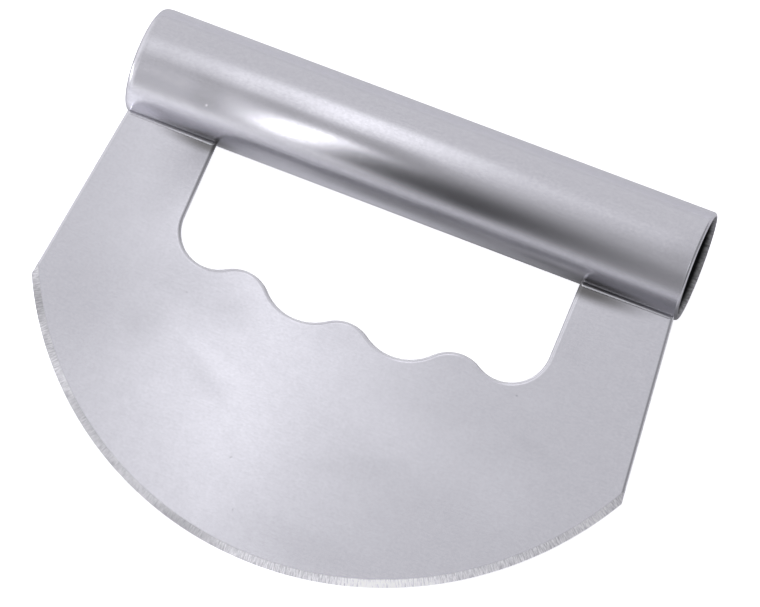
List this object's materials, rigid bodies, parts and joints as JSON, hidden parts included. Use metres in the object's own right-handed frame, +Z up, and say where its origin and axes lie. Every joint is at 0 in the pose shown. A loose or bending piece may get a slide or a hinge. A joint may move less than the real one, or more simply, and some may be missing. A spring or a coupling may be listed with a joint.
{
  "type": "mezzaluna",
  "caption": "One-hand mezzaluna: a crescent-edged steel blade with a scalloped finger opening, welded by its two legs under an open tubular steel handle.",
  "frame": {"origin": "under the middle of the whole object, on the surface that it lies on", "axes": "+X along the handle tube, -Y towards the cutting edge, +Z up, out of the front face of the blade"},
  "size_m": [0.178, 0.138, 0.032],
  "materials": {
    "tube_steel": "satin, fine lengthwise grain, soft reflections",
    "blade_steel": "satin, fine grain along the handle, bevels ground across the edge",
    "weld_steel": "bright, dressed weld bead"
  },
  "bodies": {
    "root": {"handle_tube": "tube_steel", "blade": "blade_steel", "weld_left_front": "weld_steel", "weld_left_back": "weld_steel", "weld_right_front": "weld_steel", "weld_right_back": "weld_steel"}
  },
  "joints": []
}
